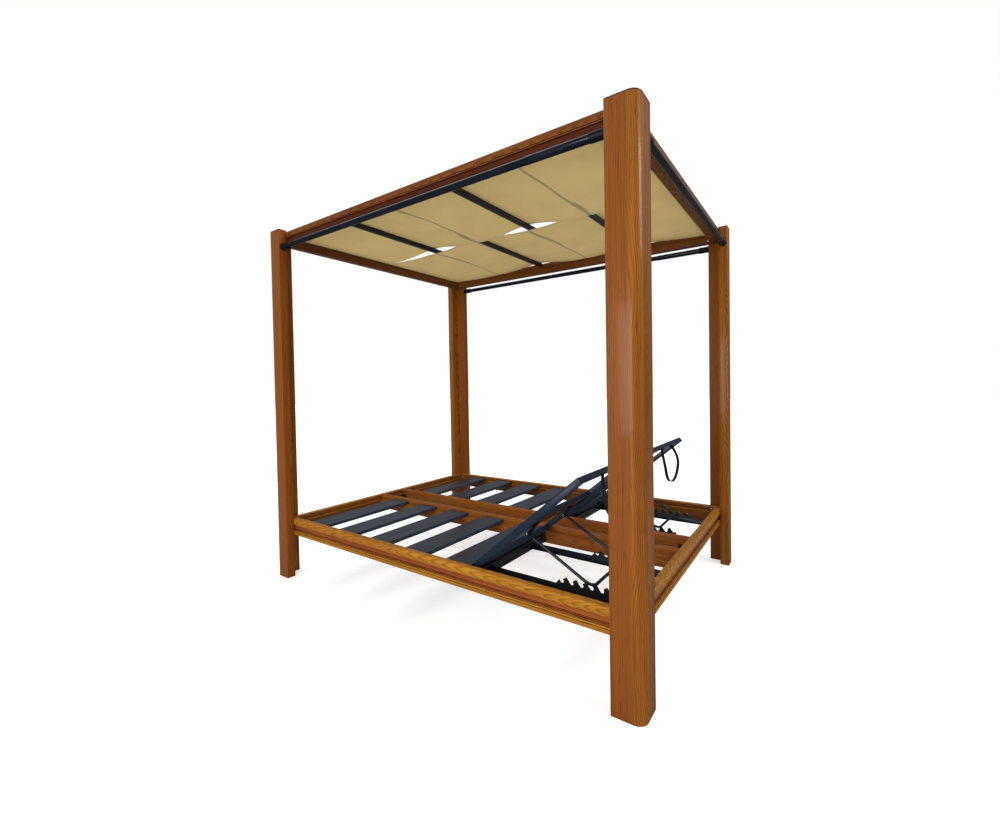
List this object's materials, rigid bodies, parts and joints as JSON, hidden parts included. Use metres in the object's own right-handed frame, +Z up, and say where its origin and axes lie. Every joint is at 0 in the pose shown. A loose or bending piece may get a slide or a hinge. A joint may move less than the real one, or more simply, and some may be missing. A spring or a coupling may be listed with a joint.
{
  "type": "outdoor daybed with canopy",
  "caption": "Double outdoor daybed with slatted deck, reclining backrests on racks and struts, corner posts and a woven cloth canopy.",
  "frame": {"origin": "on the ground, under the middle of the frame", "axes": "+Z up, +Y towards the head end, +X towards the left lounger"},
  "size_m": [1.76, 2.275, 2.1],
  "materials": {
    "wood_foil": "wood-grain foil on aluminium, satin",
    "slate_metal": "powder coat, satin, slate blue grey",
    "black_steel": "powder coat, satin, black",
    "canopy_cloth": "plain woven outdoor canvas, sand colour",
    "strap_webbing": "black webbing"
  },
  "bodies": {
    "frame": {"corner_post_head_left": "wood_foil", "corner_post_head_right": "wood_foil", "corner_post_foot_left": "wood_foil", "corner_post_foot_right": "wood_foil", "post_cap_head_left": "wood_foil", "post_cap_head_right": "wood_foil", "post_cap_foot_left": "wood_foil", "post_cap_foot_right": "wood_foil", "deck_rail_head": "wood_foil", "deck_rail_foot": "wood_foil", "deck_rail_left": "wood_foil", "deck_rail_right": "wood_foil", "canopy_beam_head": "wood_foil", "canopy_beam_foot": "wood_foil", "canopy_beam_left": "wood_foil", "canopy_beam_right": "wood_foil", "middle_beam_left": "wood_foil", "middle_beam_right": "wood_foil", "seat_slat_left_1": "slate_metal", "seat_slat_left_2": "slate_metal", "seat_slat_left_3": "slate_metal", "seat_slat_left_4": "slate_metal", "seat_slat_left_5": "slate_metal", "seat_slat_right_1": "slate_metal", "seat_slat_right_2": "slate_metal", "seat_slat_right_3": "slate_metal", "seat_slat_right_4": "slate_metal", "seat_slat_right_5": "slate_metal", "hinge_beam_left": "black_steel", "hinge_beam_right": "black_steel", "adjustment_rack_left_outer": "black_steel", "adjustment_rack_left_inner": "black_steel", "adjustment_rack_right_outer": "black_steel", "adjustment_rack_right_inner": "black_steel", "canopy_bar_1": "black_steel", "canopy_bar_2": "black_steel", "canopy_bar_3": "black_steel", "canopy_bar_4": "black_steel", "canopy_cloth_left": "canopy_cloth", "canopy_cloth_right": "canopy_cloth", "curtain_rod_left": "black_steel", "curtain_rod_right": "black_steel", "curtain_rod_head": "black_steel"},
    "backrest_left": {"backrest_tube_left_outer": "slate_metal", "backrest_tube_left_inner": "slate_metal", "backrest_cross_tube_left": "slate_metal", "backrest_top_bar_left": "slate_metal", "backrest_slat_left": "slate_metal", "pull_strap_left": "strap_webbing"},
    "backrest_right": {"backrest_tube_right_outer": "slate_metal", "backrest_tube_right_inner": "slate_metal", "backrest_cross_tube_right": "slate_metal", "backrest_top_bar_right": "slate_metal", "backrest_slat_right": "slate_metal", "pull_strap_right": "strap_webbing"},
    "strut_left": {"support_strut_left": "black_steel"},
    "strut_right": {"support_strut_right": "black_steel"}
  },
  "joints": [
    {"name": "backrest_hinge_left", "type": "hinge", "parent": "frame", "child": "backrest_left", "pos_m": [0.456, 0.336, 0.33], "axis": [1, 0, 0], "range_deg": [-40.5, 23.5]},
    {"name": "backrest_hinge_right", "type": "hinge", "parent": "frame", "child": "backrest_right", "pos_m": [-0.456, 0.336, 0.33], "axis": [1, 0, 0], "range_deg": [-40.5, 23.5]},
    {"name": "strut_hinge_left", "type": "hinge", "parent": "backrest_left", "child": "strut_left", "pos_m": [0.456, 0.53931, 0.47997], "axis": [1, 0, 0], "range_deg": [-40, 69]},
    {"name": "strut_hinge_right", "type": "hinge", "parent": "backrest_right", "child": "strut_right", "pos_m": [-0.456, 0.53931, 0.47997], "axis": [1, 0, 0], "range_deg": [-40, 69]}
  ],
  "couplings": [
    {"joint": "strut_hinge_left", "follows": "backrest_hinge_left", "ratio": -1.7},
    {"joint": "strut_hinge_right", "follows": "backrest_hinge_right", "ratio": -1.7}
  ]
}
